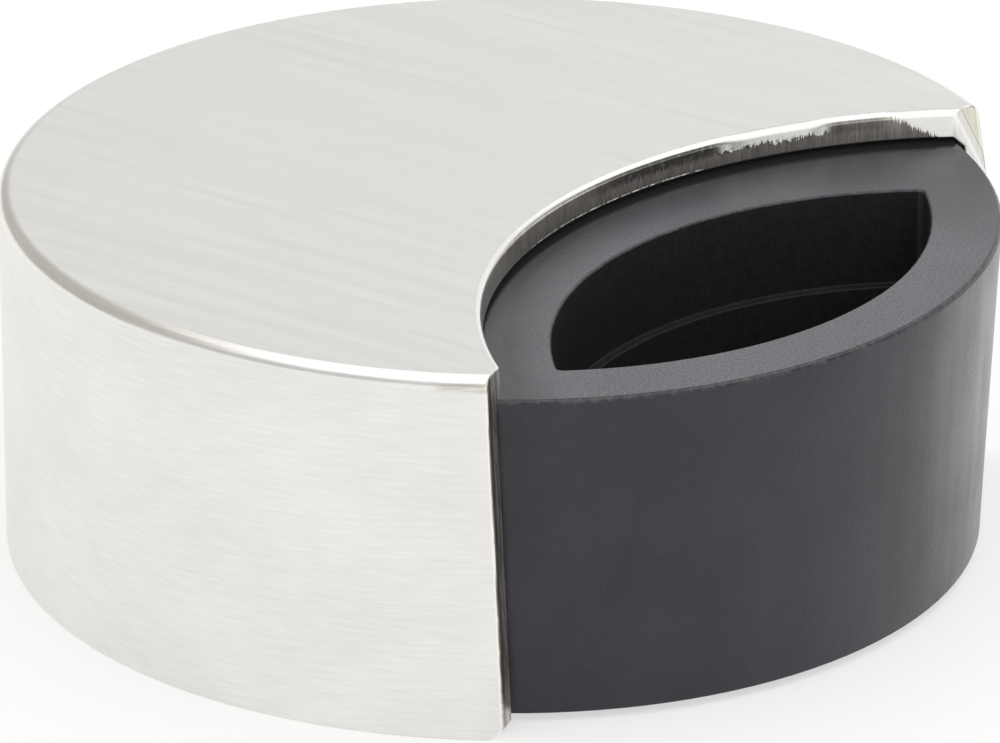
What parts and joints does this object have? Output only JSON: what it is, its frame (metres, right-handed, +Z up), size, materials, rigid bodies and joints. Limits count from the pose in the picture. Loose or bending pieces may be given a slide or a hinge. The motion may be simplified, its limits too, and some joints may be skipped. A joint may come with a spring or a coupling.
{
  "type": "floor door stop",
  "caption": "Round floor door stop: satin metal cap with a curved bite out of its front, over a dark rubber buffer with a lens-shaped pocket, screwed down through the pocket.",
  "frame": {"origin": "the middle of the footprint, on the floor; the housing's axis stands 0.8 mm in front of it", "axes": "+Z up, away from the floor; the bite and the buffer's face look along -Y, where the door comes from"},
  "size_m": [0.06, 0.0584, 0.022],
  "materials": {
    "satin_nickel": "satin brushed nickel on a zinc die-casting, polished at the bite's edge",
    "black_rubber": "matt charcoal moulded rubber"
  },
  "bodies": {
    "root": {"housing": "satin_nickel", "buffer": "black_rubber"}
  },
  "joints": []
}
